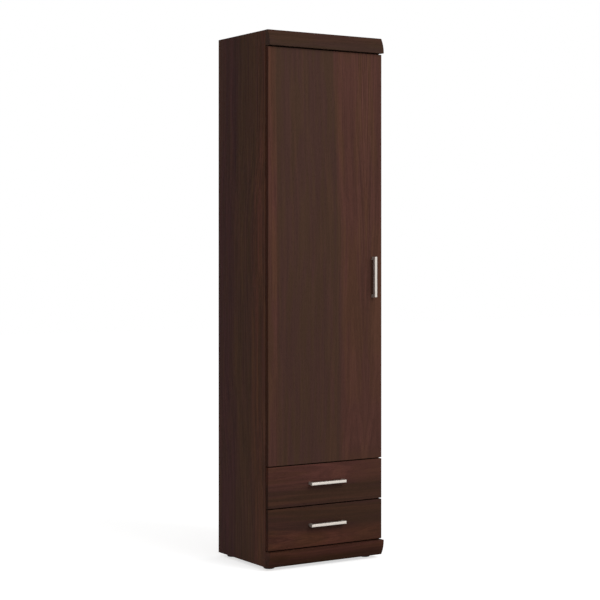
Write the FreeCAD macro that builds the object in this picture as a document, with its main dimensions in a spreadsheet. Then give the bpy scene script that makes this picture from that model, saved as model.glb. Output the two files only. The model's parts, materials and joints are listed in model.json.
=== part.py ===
import FreeCAD, Part
import math
import os
import re
import Sketcher

# Chifforobe: a tall narrow cabinet with one left-hung door over two drawers, in melamine board.
# X runs to the right, the front faces -Y and Z is up. The origin is on the floor, under the middle of
# the whole object. All lengths are in millimetres.

SIZES = {
    # Whole cabinet
    "cabinet_width": 510,
    "cabinet_height": 1994,
    "carcass_depth": 352,
    "board": 16,
    "fit_gap": 0.1,
    "cut_overrun": 1,
    # Fronts
    "front_board": 16,
    "front_standoff": 3,
    "front_gap": 4,
    "side_reveal": 1,
    "drawer_front_height": 151.5,
    "edge_round": 1,
    # Cornice and plinth
    "trim_height": 58,
    "trim_edge": 16,
    "trim_swell": 17,
    # Back
    "back_board": 3,
    "back_inset": 8,
    "back_groove": 7,
    "strip_width": 24,
    "strip_wall": 1.5,
    # Shelves
    "hat_space_height": 308,
    "hat_shelf_setback": 20,
    # Feet
    "foot_height": 13,
    "foot_radius": 21,
    "foot_chamfer": 4,
    "foot_inset": 40,
    "foot_spike_radius": 2,
    "foot_spike_length": 18,
    "block_length": 60,
    # Clothes rail
    "rail_radius": 12.5,
    "rail_wall": 1.2,
    "rail_drop": 50,
    "rail_end_gap": 26,
    "bracket_wall": 5,
    "bracket_depth": 12,
    "bracket_plate_width": 60,
    "bracket_plate_depth": 26,
    "bracket_plate_wall": 3,
    "bracket_screw_inset": 8,
    # Handles
    "handle_length": 155,
    "handle_width": 11,
    "handle_projection": 24,
    "handle_bar": 13,
    "handle_leg": 12,
    "handle_round": 3,
    "door_handle_inset": 41,
    "door_handle_drop": 80,
    "drawer_handle_rise": 5,
    "handle_screw_radius": 2,
    "handle_screw_grip": 9,
    "screw_head_radius": 3.8,
    "screw_head_height": 1.6,
    # Cup hinges
    "hinge_inset": 100,
    "pin_inset": 7.5,
    "pin_depth": 10,
    "pin_radius": 1,
    "pin_running_gap": 0.05,
    "pin_overhang": 1.3,
    "knuckle_radius": 1.8,
    "cup_radius": 17.5,
    "cup_edge": 3,
    "cup_floor": 0.8,
    "cup_floor_gap": 0.4,
    "cup_mouth_gap": 0.3,
    "cup_leg_gap": 1.9,
    "cup_flange_wall": 1,
    "cup_flange_margin": 7,
    "cup_flange_width": 27,
    "cup_screw_spread": 48,
    "cup_screw_setback": 5,
    "arm_width": 12,
    "arm_foot_rear": 0.7,
    "arm_foot_front": 1.3,
    "arm_leg_wall": 2.5,
    "arm_length": 62,
    "plate_rise": 5,
    "plate_setback": 22,
    "plate_depth": 34,
    "plate_width": 18,
    "wing_rise": 2,
    "wing_depth": 14,
    "wing_margin": 7,
    "plate_screw_spread": 32,
    "arm_screw_radius": 2.5,
    "arm_screw_head_radius": 4,
    "arm_screw_grip": 4,
    "bumper_radius": 5,
    "bumper_gap": 0.4,
    "bumper_inset": 8,
    "bumper_level_inset": 40,
    # Drawer boxes
    "drawer_side_board": 12,
    "drawer_head_gap": 31.5,
    "drawer_rear_gap": 44,
    "drawer_lift": 20,
    "drawer_groove": 6,
    "drawer_bottom_gap": 2,
    "drawer_bottom_board": 3,
    # Roller runners
    "runner_space": 12.5,
    "runner_steel": 1.2,
    "runner_setback": 3,
    "channel_gap": 1.3,
    "roller_radius": 8.5,
    "roller_width": 6,
    "roller_side_gap": 0.5,
    "roller_gap": 0.3,
    "axle_radius": 2,
    "axle_running_gap": 0.05,
    "axle_overhang": 0.8,
    "drawer_rail_height": 22,
    "drawer_rail_flange_gap": 2.3,
    "drawer_rail_gap": 0.5,
    "runner_screw_inset": 40,
    # Fasteners
    "wood_screw_radius": 1.75,
    "wood_screw_length": 13,
    "wood_screw_head_radius": 3.2,
    "wood_screw_head_height": 1.4,
    "dowel_radius": 4,
    "dowel_length": 30,
    "dowel_end_gap": 1,
    "dowel_side_depth": 11,
    "trim_dowel_depth": 10,
    "drawer_dowel_radius": 3,
    "drawer_dowel_length": 24,
    "drawer_dowel_depth": 9,
    "drawer_dowel_margin": 8,
    "drawer_dowel_inset": 22,
    "bolt_thread_radius": 3,
    "bolt_thread_depth": 11,
    "bolt_shank_radius": 3.5,
    "cam_reach": 24,
    "cam_radius": 7.5,
    "cam_height": 11,
    "cam_setback": 90,
    "nail_radius": 0.9,
    "nail_length": 18,
    "nail_head_radius": 1.8,
    "nail_head_height": 0.6,
    "nail_end_inset": 40,
}

# Places and sizes that follow from those above.
DERIVED = {
    "left_face": "-cabinet_width / 2",
    "inner_left": "left_face + board",
    "inner_right": "-inner_left",
    "inner_width": "cabinet_width - 2 * board",
    "carcass_front": "(front_standoff + front_board + handle_projection - carcass_depth) / 2",
    "carcass_rear": "carcass_front + carcass_depth",
    "back_face": "carcass_rear - back_inset - back_board",
    "inner_depth": "back_face - carcass_front",
    "fronts_rear": "carcass_front - front_standoff",
    "fronts_face": "fronts_rear - front_board",
    "front_width": "cabinet_width - 2 * side_reveal",
    "plinth_top": "foot_height + trim_height",
    "lower_front_bottom": "plinth_top + front_gap",
    "upper_front_bottom": "lower_front_bottom + drawer_front_height + front_gap",
    "door_bottom": "upper_front_bottom + drawer_front_height + front_gap",
    "door_top": "cabinet_height - trim_height - front_gap",
    "door_left": "left_face + side_reveal",
    "side_height": "cabinet_height - foot_height",
    "top_level": "cabinet_height - board",
    "divider_level": "door_bottom - front_gap / 2 - board / 2",
    "bottom_level": "plinth_top - board",
    "base_height": "bottom_level - foot_height",
    "block_width": "2 * (foot_inset - board)",
    "back_joint_level": "(cabinet_height + bottom_level) / 2",
    "hat_shelf_level": "top_level - hat_space_height - board",
    "rail_level": "hat_shelf_level - rail_drop",
    "rail_start": "carcass_front + hat_shelf_setback + rail_end_gap",
    "rail_length": "back_face - rail_end_gap - rail_start",
    "bracket_screw_reach": "bracket_plate_width / 2 - bracket_screw_inset",
    "handle_hole_spread": "handle_length - handle_leg",
    "door_middle": "(door_top + door_bottom) / 2",
    "pin_x": "door_left + pin_inset",
    "pin_y": "fronts_rear - pin_depth",
    "cup_x": "door_left + cup_edge + cup_radius",
    "cup_bore_depth": "pin_depth + knuckle_radius + cup_floor_gap + cup_floor",
    "cup_mouth_left": "pin_x - knuckle_radius - cup_mouth_gap",
    "cup_mouth_length": "leg_x + arm_leg_wall + cup_leg_gap - cup_mouth_left",
    "cup_mouth_width": "arm_width + 2 * cup_mouth_gap",
    "cup_screw_x": "cup_x + cup_screw_setback",
    "cup_flange_length": "cup_screw_spread + 2 * cup_flange_margin",
    "pin_length": "cup_mouth_width + 2 * pin_overhang",
    "leg_x": "inner_left + plate_rise",
    "plate_y": "carcass_front + plate_setback",
    "plate_middle": "plate_y + plate_depth / 2",
    "wing_length": "plate_screw_spread + 2 * wing_margin",
    "bumper_height": "front_standoff - bumper_gap",
    "drawer_half_width": "inner_width / 2 - runner_space",
    "drawer_inner_width": "2 * (drawer_half_width - drawer_side_board)",
    "drawer_side_length": "front_standoff + inner_depth - drawer_rear_gap",
    "drawer_side_height": "drawer_front_height - drawer_lift - drawer_head_gap",
    "drawer_rear": "fronts_rear + drawer_side_length",
    "drawer_bottom_rise": "rear_axle_rise + wood_screw_radius + drawer_bottom_gap",
    "bottom_tongue": "drawer_groove - fit_gap",
    "drawer_rail_flange": "runner_space - runner_steel - drawer_rail_flange_gap",
    "runner_length": "drawer_side_length",
    "channel_reach": "runner_space - runner_steel - channel_gap",
    "channel_height": "2 * (roller_radius + roller_gap + runner_steel)",
    "channel_rise": "drawer_rail_height - runner_steel - drawer_rail_gap - channel_height",
    "runner_front": "carcass_front + runner_setback",
    "front_axle_y": "runner_front + roller_radius + roller_side_gap",
    "front_axle_rise": "drawer_rail_height - runner_steel - roller_gap - roller_radius",
    "rear_axle_y": "drawer_rear - roller_radius - roller_side_gap",
    "rear_axle_rise": "channel_rise + channel_height / 2",
    "axle_length": "roller_side_gap + roller_width + axle_overhang",
}

ALONG = {
    "+X": FreeCAD.Rotation(FreeCAD.Vector(0, 1, 0), 90),
    "-X": FreeCAD.Rotation(FreeCAD.Vector(0, 1, 0), -90),
    "+Y": FreeCAD.Rotation(FreeCAD.Vector(1, 0, 0), -90),
    "-Y": FreeCAD.Rotation(FreeCAD.Vector(1, 0, 0), 90),
    "+Z": FreeCAD.Rotation(),
    "-Z": FreeCAD.Rotation(FreeCAD.Vector(1, 0, 0), 180),
}
OPPOSITE = {"+X": "-X", "-X": "+X", "+Y": "-Y", "-Y": "+Y", "+Z": "-Z", "-Z": "+Z"}

document = FreeCAD.newDocument("chifforobe")
sheet = document.addObject("Spreadsheet::Sheet", "Sizes")
for row, (size_name, size_value) in enumerate(SIZES.items(), start=1):
    sheet.set(f"A{row}", size_name)
    sheet.set(f"B{row}", str(size_value))
    sheet.setAlias(f"B{row}", size_name)
document.recompute()

nodes = []
drillings = {}


# Helpers

def formula(text):
    """Rewrite a formula in the size names above so that it reads the sheet's cells."""
    def cell(match):
        name = match.group(0)
        if name in DERIVED:
            return "(" + formula(DERIVED[name]) + ")"
        return "Sizes." + name
    return re.sub(r"[a-z_]+", cell, text)


def measure(text):
    return float(sheet.evalExpression(formula(text)))


def place(piece, x, y, z):
    for axis, text in (("x", x), ("y", y), ("z", z)):
        piece.setExpression("Placement.Base." + axis, formula(text))


def box(name, low, size):
    """Box from its lowest corner, three formulas, and its three side lengths."""
    piece = document.addObject("Part::Box", name)
    for side, text in zip(("Length", "Width", "Height"), size):
        piece.setExpression(side, formula(text))
    place(piece, *low)
    return piece


def rod(name, along, start, radius, length):
    """Round rod from the centre of its first end, along one of the six directions."""
    piece = document.addObject("Part::Cylinder", name)
    piece.Placement = FreeCAD.Placement(FreeCAD.Vector(), ALONG[along])
    piece.setExpression("Radius", formula(radius))
    piece.setExpression("Height", formula(length))
    place(piece, *start)
    return piece


def fuse(name, pieces):
    whole = document.addObject("Part::MultiFuse", name)
    whole.Shapes = pieces
    return whole


def group(name, pieces):
    whole = document.addObject("Part::Compound", name)
    whole.Links = pieces
    return whole


def cut(name, base, tools):
    """Cut one or more pieces out of a base."""
    whole = document.addObject("Part::Cut", name)
    whole.Base = base
    whole.Tool = tools[0] if len(tools) == 1 else group(name + "_tools", tools)
    return whole


def shifted(start, along, text):
    """The point that lies a formula's length from another, along one of the six directions."""
    places = list(start)
    axis = "XYZ".index(along[1])
    places[axis] = f"({places[axis]}) {along[0]} ({text})"
    return places


def drill(host, along, start, radius, depth):
    """Note a round hole to be cut in a board, a little wider than what goes in it."""
    holes = drillings.setdefault(host, [])
    mouth = shifted(start, OPPOSITE[along], "cut_overrun")
    hole = rod(f"{host}_hole", along, mouth, f"{radius} + fit_gap", f"{depth} + cut_overrun")
    holes.append(hole)


def carve(host, low, size):
    """Note a groove to be cut in a board."""
    drillings.setdefault(host, []).append(box(f"{host}_groove", low, size))


def node(label, piece):
    """Hand a finished piece over under its own name."""
    if label in drillings:
        piece = cut(label + "_drilled", piece, drillings[label])
    piece.Label = label
    nodes.append(piece)
    return piece


def new_body(name):
    return document.addObject("PartDesign::Body", name)


def new_sketch(body, plane_role):
    sketch = body.newObject("Sketcher::SketchObject", body.Name + "_sketch")
    planes = {feature.Role: feature for feature in body.Origin.OriginFeatures}
    sketch.AttachmentSupport = (planes[plane_role], [""])
    sketch.MapMode = "FlatFace"
    return sketch


def bound_constraint(sketch, text, kind, *ends):
    index = sketch.addConstraint(Sketcher.Constraint(kind, *ends, measure(text)))
    sketch.setExpression(f"Constraints[{index}]", formula(text))


def outline(body, plane_role, corners):
    """Closed straight-sided sketch whose corners are pairs of formulas from the sketch's origin."""
    sketch = new_sketch(body, plane_role)
    points = [FreeCAD.Vector(measure(across), measure(up), 0) for across, up in corners]
    count = len(points)
    for index, point in enumerate(points):
        sketch.addGeometry(Part.LineSegment(point, points[(index + 1) % count]))
    for index, (across, up) in enumerate(corners):
        sketch.addConstraint(Sketcher.Constraint("Coincident", index, 2, (index + 1) % count, 1))
        bound_constraint(sketch, across, "DistanceX", -1, 1, index, 1)
        bound_constraint(sketch, up, "DistanceY", -1, 1, index, 1)
    return sketch


def pad(body, sketch, length, both_ways=False):
    feature = body.newObject("PartDesign::Pad", body.Name + "_pad")
    feature.Profile = sketch
    feature.Midplane = both_ways
    feature.setExpression("Length", formula(length))
    document.recompute()
    return feature


def round_edges(body, feature, radius, chosen):
    """Fillet the edges whose two ends both satisfy a test on their place."""
    edges = []
    for index, edge in enumerate(feature.Shape.Edges, start=1):
        if all(chosen(vertex.Point) for vertex in edge.Vertexes):
            edges.append(f"Edge{index}")
    fillet = body.newObject("PartDesign::Fillet", body.Name + "_fillet")
    fillet.Base = (feature, edges)
    fillet.setExpression("Radius", formula(radius))
    document.recompute()
    return fillet


def eased_board(name, low, size, outward):
    """Board whose edges are rounded round the one face that shows, named by its direction."""
    body = new_body(name)
    length, width, height = size
    corners = [("0", "0"), (length, "0"), (length, width), ("0", width)]
    blank = pad(body, outline(body, "XY_Plane", corners), height)
    axis = "XYZ".index(outward[1])
    face = 0 if outward[0] == "-" else measure(size[axis])
    round_edges(body, blank, "edge_round", lambda point: abs(point[axis] - face) < measure("fit_gap"))
    place(body, *low)
    return body


# Fasteners: each one is a solid with matching holes in the boards that it holds

fasteners = {}


def add_fastener(label, piece):
    fasteners.setdefault(label, []).append(piece)


def headed_pin(label, along, start, shank_radius, shank_length, head_radius, head_height):
    """Screw or nail: the head stands before its seat, the shank runs on from it."""
    shank = rod(label + "_shank", along, start, shank_radius, shank_length)
    head = rod(label + "_head", OPPOSITE[along], start, head_radius, head_height)
    add_fastener(label, fuse(label + "_one", [shank, head]))


def wood_screw(label, along, start, wall, host):
    """Wood screw through a wall of metal into the host board."""
    headed_pin(label, along, start, "wood_screw_radius", "wood_screw_length",
               "wood_screw_head_radius", "wood_screw_head_height")
    drill(host, along, shifted(start, along, wall), "wood_screw_radius", f"wood_screw_length - {wall}")


def dowel(label, along, joint, radius, length, depth, host, mate):
    """Wooden dowel across a joint: it goes a depth into the host and the rest into its mate."""
    start = shifted(joint, OPPOSITE[along], depth)
    add_fastener(label, rod(label + "_one", along, start, radius, length))
    drill(host, OPPOSITE[along], joint, radius, f"{depth} + dowel_end_gap")
    drill(mate, along, joint, radius, f"{length} - {depth} + dowel_end_gap")


def cam_joint(along, joint, side, panel):
    """Bolt screwed into a side panel, drawn tight by a cam let into the panel's underside."""
    thread = rod("bolt_thread", OPPOSITE[along], joint, "bolt_thread_radius", "bolt_thread_depth")
    shank = rod("bolt_shank", along, joint, "bolt_shank_radius", "cam_reach")
    add_fastener("cam_bolts", fuse("cam_bolt", [thread, shank]))
    drill(side, OPPOSITE[along], joint, "bolt_thread_radius", "bolt_thread_depth + dowel_end_gap")
    drill(panel, along, joint, "bolt_shank_radius", "cam_reach")
    centre = shifted(shifted(joint, along, "cam_reach"), "-Z", "board / 2")
    cam = rod("cam_blank", "+Z", centre, "cam_radius", "cam_height")
    socket_start = shifted(joint, along, "cam_reach - cam_radius - cut_overrun")
    socket = rod("cam_socket", along, socket_start, "bolt_shank_radius + fit_gap",
                 "cam_radius + cut_overrun + fit_gap")
    add_fastener("cam_nuts", cut("cam_nut", cam, [socket]))
    drill(panel, "+Z", centre, "cam_radius", "cam_height")


# Carcass boards

SIDE_JOINTS = (("+X", "inner_left", "left_side_panel"), ("-X", "inner_right", "right_side_panel"))


def side_panels():
    panels = []
    for label, x, outward, groove_x in (
        ("left_side_panel", "left_face", "-X", "inner_left - back_groove"),
        ("right_side_panel", "inner_right", "+X", "inner_right - cut_overrun"),
    ):
        low = (x, "carcass_front", "foot_height")
        blank = eased_board(label + "_blank", low, ("board", "carcass_depth", "side_height"), outward)
        panels.append((label, blank))
        carve(label, (groove_x, "back_face - fit_gap", "bottom_level"),
              ("back_groove + cut_overrun", "back_board + 2 * fit_gap", "side_height"))
    return panels


def shelf(label, level, setback):
    """Board between the two sides, joined to each by two cam bolts and a dowel."""
    blank = box(label + "_blank", ("inner_left", f"carcass_front + {setback}", level),
                ("inner_width", f"inner_depth - {setback}", "board"))
    middle = f"{level} + board / 2"
    for along, x, side in SIDE_JOINTS:
        for y in (f"carcass_front + {setback} + cam_setback", "back_face - cam_setback"):
            cam_joint(along, (x, y, middle), side, label)
        dowel("wooden_dowels", along, (x, f"carcass_front + ({setback} + inner_depth) / 2", middle),
              "dowel_radius", "dowel_length", "dowel_side_depth", side, label)
    return label, blank


def back_nails(panel, shelf_label, level):
    """Three nails through a back panel into a shelf's rear edge."""
    for x in ("inner_left + nail_end_inset", "0", "inner_right - nail_end_inset"):
        start = (x, "back_face + back_board", f"{level} + board / 2")
        headed_pin("back_panel_nails", "-Y", start, "nail_radius", "nail_length",
                   "nail_head_radius", "nail_head_height")
        drill(panel, "-Y", start, "nail_radius", "back_board")
        edge = shifted(start, "-Y", "back_board")
        drill(shelf_label, "-Y", edge, "nail_radius", "nail_length - back_board")


def back_panels():
    """Two thin boards that slide in the sides' grooves, with a strip of H section where they meet."""
    x = "inner_left - back_groove + fit_gap"
    width = "inner_width + 2 * (back_groove - fit_gap)"
    lower_height = "back_joint_level - strip_wall / 2 - bottom_level"
    upper_start = "back_joint_level + strip_wall / 2"
    lower = box("lower_back_blank", (x, "back_face", "bottom_level"), (width, "back_board", lower_height))
    upper = box("upper_back_blank", (x, "back_face", upper_start),
                (width, "back_board", f"cabinet_height - ({upper_start})"))
    back_nails("lower_back_panel", "bottom_panel", "bottom_level")
    back_nails("lower_back_panel", "divider_panel", "divider_level")
    back_nails("upper_back_panel", "hat_shelf", "hat_shelf_level")
    back_nails("upper_back_panel", "top_panel", "top_level")
    flange_low = "back_joint_level - strip_width / 2"
    web = box("strip_web", ("inner_left", "back_face", "back_joint_level - strip_wall / 2"),
              ("inner_width", "back_board", "strip_wall"))
    flanges = [
        box("strip_flange", ("inner_left", y, flange_low), ("inner_width", "strip_wall", "strip_width"))
        for y in ("back_face - strip_wall", "back_face + back_board")
    ]
    node("back_joint_strip", fuse("strip_whole", [web] + flanges))
    return [("lower_back_panel", lower), ("upper_back_panel", upper)]


def moulding(label, level, turned):
    """Bowed moulding across the front: an arc that runs upright into its thick edge."""
    body = new_body(label + "_body")
    sketch = new_sketch(body, "YZ_Plane")
    thick, thin, rise = (measure(text) for text in ("trim_edge + trim_swell", "trim_edge", "trim_height"))
    radius = (rise ** 2 + (thick - thin) ** 2) / (2 * (thick - thin))
    rear_foot, front_foot = FreeCAD.Vector(0, 0, 0), FreeCAD.Vector(-thick, 0, 0)
    front_head, rear_head = FreeCAD.Vector(-thin, rise, 0), FreeCAD.Vector(0, rise, 0)
    circle = Part.Circle(FreeCAD.Vector(radius - thick, 0, 0), FreeCAD.Vector(0, 0, 1), radius)
    head_angle = math.pi - math.asin(rise / radius)
    bed = sketch.addGeometry(Part.LineSegment(rear_foot, front_foot))
    bow = sketch.addGeometry(Part.ArcOfCircle(circle, head_angle, math.pi))
    head = sketch.addGeometry(Part.LineSegment(front_head, rear_head))
    rear = sketch.addGeometry(Part.LineSegment(rear_head, rear_foot))
    meetings = ((bed, 1, -1, 1), (bed, 2, bow, 2), (bow, 1, head, 1), (head, 2, rear, 1), (rear, 2, bed, 1))
    for ends in meetings:
        sketch.addConstraint(Sketcher.Constraint("Coincident", *ends))
    sketch.addConstraint(Sketcher.Constraint("PointOnObject", bow, 3, -1))
    for line in (bed, head):
        sketch.addConstraint(Sketcher.Constraint("Horizontal", line))
    sketch.addConstraint(Sketcher.Constraint("Vertical", rear))
    bound_constraint(sketch, "trim_edge + trim_swell", "DistanceX", bed, 2, bed, 1)
    bound_constraint(sketch, "trim_edge", "DistanceX", head, 1, head, 2)
    bound_constraint(sketch, "trim_height", "DistanceY", rear, 2, rear, 1)
    pad(body, sketch, "cabinet_width", both_ways=True)
    if turned:
        body.Placement = FreeCAD.Placement(FreeCAD.Vector(), FreeCAD.Rotation(FreeCAD.Vector(0, 1, 0), 180))
    place(body, "0", "carcass_front", level)
    return label, body


def trim_dowels(label, level):
    """Two dowels from a moulding into each side panel's front edge."""
    for along, x, side in SIDE_JOINTS:
        for z in (f"{level} + trim_height / 4", f"{level} + 3 * trim_height / 4"):
            joint = shifted((x, "carcass_front", z), OPPOSITE[along], "board / 2")
            dowel("wooden_dowels", "+Y", joint, "dowel_radius", "dowel_length", "trim_dowel_depth",
                  label, side)


def rear_plinth_rail():
    label = "rear_plinth_rail"
    blank = box("rear_rail_blank", ("inner_left", "back_face - board", "foot_height"),
                ("inner_width", "board", "base_height"))
    for along, x, side in SIDE_JOINTS:
        for z in ("foot_height + base_height / 4", "foot_height + 3 * base_height / 4"):
            dowel("wooden_dowels", along, (x, "back_face - board / 2", z), "dowel_radius", "dowel_length",
                  "dowel_side_depth", side, label)
    return label, blank


def corner_blocks_and_feet():
    """A block glued into each corner under the bottom panel, with a round glide knocked into it."""
    blocks = []
    feet = []
    spike_top = "foot_height + foot_spike_length"
    profile = [("0", "0"), ("foot_radius - foot_chamfer", "0"), ("foot_radius", "foot_chamfer"),
               ("foot_radius", "foot_height"), ("foot_spike_radius", "foot_height"),
               ("foot_spike_radius", spike_top), ("0", spike_top)]
    for x in ("inner_left", "inner_right - block_width"):
        for y, foot_y in (("carcass_front", "carcass_front + foot_inset"),
                          ("back_face - board - block_length", "carcass_rear - foot_inset")):
            block = box("corner_block", (x, y, "foot_height"), ("block_width", "block_length", "base_height"))
            centre = (f"{x} + block_width / 2", foot_y)
            hole = rod("spike_hole", "+Z", (*centre, "foot_height - cut_overrun"),
                       "foot_spike_radius + fit_gap", "foot_spike_length + cut_overrun + fit_gap")
            blocks.append(cut("corner_block_drilled", block, [hole]))
            foot = new_body("foot")
            turning = foot.newObject("PartDesign::Revolution", "foot_turning")
            turning.Profile = outline(foot, "XZ_Plane", profile)
            turning.ReferenceAxis = (turning.Profile[0], ["V_Axis"])
            turning.Angle = 360
            place(foot, *centre, "0")
            feet.append(foot)
    node("corner_blocks", group("corner_block_set", blocks))
    node("feet", group("foot_set", feet))


# Clothes rail, hung under the hat shelf from front to back

def clothes_rail():
    start = ("0", "rail_start", "rail_level")
    tube = rod("rail_outside", "+Y", start, "rail_radius", "rail_length")
    bore = rod("rail_bore", "+Y", shifted(start, "-Y", "cut_overrun"), "rail_radius - rail_wall",
               "rail_length + 2 * cut_overrun")
    node("clothes_rail", cut("rail_tube", tube, [bore]))
    brackets = []
    plate_top = "hat_shelf_level - bracket_plate_wall"
    for y in ("rail_start", "rail_start + rail_length - bracket_depth"):
        ring = rod("bracket_ring", "+Y", ("0", y, "rail_level"), "rail_radius + bracket_wall",
                   "bracket_depth")
        stem = box("bracket_stem", ("-rail_radius", y, "rail_level"),
                   ("2 * rail_radius", "bracket_depth", f"{plate_top} - rail_level"))
        plate_y = f"{y} + bracket_depth / 2 - bracket_plate_depth / 2"
        plate = box("bracket_plate", ("-bracket_plate_width / 2", plate_y, plate_top),
                    ("bracket_plate_width", "bracket_plate_depth", "bracket_plate_wall"))
        bore = rod("bracket_bore", "+Y", ("0", f"{y} - cut_overrun", "rail_level"), "rail_radius + fit_gap",
                   "bracket_depth + 2 * cut_overrun")
        holes = [bore]
        for x in ("-bracket_screw_reach", "bracket_screw_reach"):
            seat = (x, f"{y} + bracket_depth / 2", plate_top)
            wood_screw("wood_screws", "+Z", seat, "bracket_plate_wall", "hat_shelf")
            holes.append(rod("bracket_screw_hole", "+Z", shifted(seat, "-Z", "cut_overrun"),
                             "wood_screw_radius + fit_gap", "bracket_plate_wall + 2 * cut_overrun"))
        brackets.append(cut("rail_bracket", fuse("bracket_whole", [ring, stem, plate]), holes))
    node("rail_brackets", group("rail_bracket_set", brackets))


# Handles

def bar_handle(label, front, centre, upright):
    """Bar handle on two legs, held by two screws through its front."""
    body = new_body(label + "_body")
    half = "handle_length / 2"
    inside = "handle_length / 2 - handle_leg"
    under = "handle_projection - handle_bar"
    corners = [(f"-{half}", "0"), (f"-({inside})", "0"), (f"-({inside})", under), (inside, under),
               (inside, "0"), (half, "0"), (half, "handle_projection"), (f"-{half}", "handle_projection")]
    bar = pad(body, outline(body, "XY_Plane", corners), "handle_width", both_ways=True)
    outer = measure("handle_projection - fit_gap")
    round_edges(body, bar, "handle_round", lambda point: point.y > outer)
    turn = FreeCAD.Rotation(FreeCAD.Vector(1, 0, 1) if upright else FreeCAD.Vector(0, 0, 1), 180)
    body.Placement = FreeCAD.Placement(FreeCAD.Vector(), turn)
    place(body, centre[0], "fronts_face", centre[1])
    screws = label.replace("handle", "screws") if not upright else label + "_screws"
    for side in ("-", "+"):
        shift = f"{side} handle_hole_spread / 2"
        x, z = (centre[0], f"{centre[1]} {shift}") if upright else (f"{centre[0]} {shift}", centre[1])
        seat = (x, "fronts_rear", z)
        headed_pin(screws, "-Y", seat, "handle_screw_radius", "front_board + handle_screw_grip",
                   "screw_head_radius", "screw_head_height")
        drill(front, "-Y", seat, "handle_screw_radius", "front_board + cut_overrun")
        drill(label, "-Y", (x, "fronts_face", z), "handle_screw_radius", "handle_screw_grip + fit_gap")
    node(label, body)


# Door with its cup hinges

HINGE_LEVELS = ("door_top - hinge_inset", "door_middle", "door_bottom + hinge_inset")


def hinge_cup(level):
    """Cup let into the door's back, with a flange on the door and a mouth for the arm."""
    shell = rod("cup_shell", "-Y", ("cup_x", "fronts_rear", level), "cup_radius - fit_gap",
                "cup_bore_depth - fit_gap")
    flange_low = ("cup_mouth_left - cup_mouth_gap", "fronts_rear", f"{level} - cup_flange_length / 2")
    flange = box("cup_flange", flange_low, ("cup_flange_width", "cup_flange_wall", "cup_flange_length"))
    mouth_depth = "(cup_bore_depth - cup_floor)"
    mouth_low = ("cup_mouth_left", f"fronts_rear - {mouth_depth}", f"{level} - cup_mouth_width / 2")
    mouth_size = ("cup_mouth_length", f"{mouth_depth} + cup_flange_wall + cut_overrun", "cup_mouth_width")
    mouth = box("cup_mouth", mouth_low, mouth_size)
    pin_start = ("pin_x", "pin_y", f"{level} - pin_length / 2")
    pin_hole = rod("cup_pin_hole", "+Z", pin_start, "pin_radius", "pin_length")
    holes = [mouth, pin_hole]
    for side in ("-", "+"):
        seat = ("cup_screw_x", "fronts_rear + cup_flange_wall", f"{level} {side} cup_screw_spread / 2")
        wood_screw("hinge_cup_screws", "-Y", seat, "cup_flange_wall", "door_panel")
        holes.append(rod("cup_screw_hole", "-Y", shifted(seat, "+Y", "cut_overrun"),
                         "wood_screw_radius + fit_gap", "cup_flange_wall + 2 * cut_overrun"))
    add_fastener("hinge_pins", rod("hinge_pin", "+Z", pin_start, "pin_radius", "pin_length"))
    drill("door_panel", "-Y", ("cup_x", "fronts_rear", level), "cup_radius - fit_gap", "cup_bore_depth")
    return cut("hinge_cup", fuse("cup_whole", [shell, flange]), holes)


def hinge_arm(level):
    """Gooseneck arm: a knuckle on the pin, a foot in the cup and a leg back to the plate."""
    low = f"{level} - arm_width / 2"
    knuckle = rod("arm_knuckle", "+Z", ("pin_x", "pin_y", low), "knuckle_radius", "arm_width")
    foot = box("arm_foot", ("pin_x", "pin_y - arm_foot_front", low),
               ("leg_x + arm_leg_wall - pin_x", "arm_foot_front + arm_foot_rear", "arm_width"))
    leg = box("arm_leg", ("leg_x", "pin_y - arm_foot_front", low),
              ("arm_leg_wall", "arm_foot_front + carcass_front - pin_y + arm_length", "arm_width"))
    pin_hole = rod("arm_pin_hole", "+Z", shifted(("pin_x", "pin_y", low), "-Z", "cut_overrun"),
                   "pin_radius + pin_running_gap", "arm_width + 2 * cut_overrun")
    screw_hole = rod("arm_screw_hole", "+X", ("leg_x - cut_overrun", "plate_middle", level),
                     "arm_screw_radius + fit_gap", "arm_leg_wall + 2 * cut_overrun")
    return cut("hinge_arm", fuse("arm_whole", [knuckle, foot, leg]), [pin_hole, screw_hole])


def hinge_plate(level):
    """Plate with two wings, screwed to the side panel; the arm is screwed to it."""
    block = box("plate_block", ("inner_left", "plate_y", f"{level} - plate_width / 2"),
                ("plate_rise", "plate_depth", "plate_width"))
    wing_low = ("inner_left", "plate_middle - wing_depth / 2", f"{level} - wing_length / 2")
    wings = box("plate_wings", wing_low, ("wing_rise", "wing_depth", "wing_length"))
    seat = ("leg_x + arm_leg_wall", "plate_middle", level)
    headed_pin("hinge_arm_screws", "-X", seat, "arm_screw_radius", "arm_leg_wall + arm_screw_grip",
               "arm_screw_head_radius", "screw_head_height")
    holes = [rod("plate_screw_hole", "-X", ("leg_x + cut_overrun", "plate_middle", level),
                 "arm_screw_radius + fit_gap", "arm_screw_grip + cut_overrun + fit_gap")]
    for side in ("-", "+"):
        wing_seat = ("inner_left + wing_rise", "plate_middle", f"{level} {side} plate_screw_spread / 2")
        wood_screw("wood_screws", "-X", wing_seat, "wing_rise", "left_side_panel")
        holes.append(rod("wing_hole", "-X", shifted(wing_seat, "+X", "cut_overrun"),
                         "wood_screw_radius + fit_gap", "wing_rise + 2 * cut_overrun"))
    return cut("hinge_plate", fuse("plate_whole", [block, wings]), holes)


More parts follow.
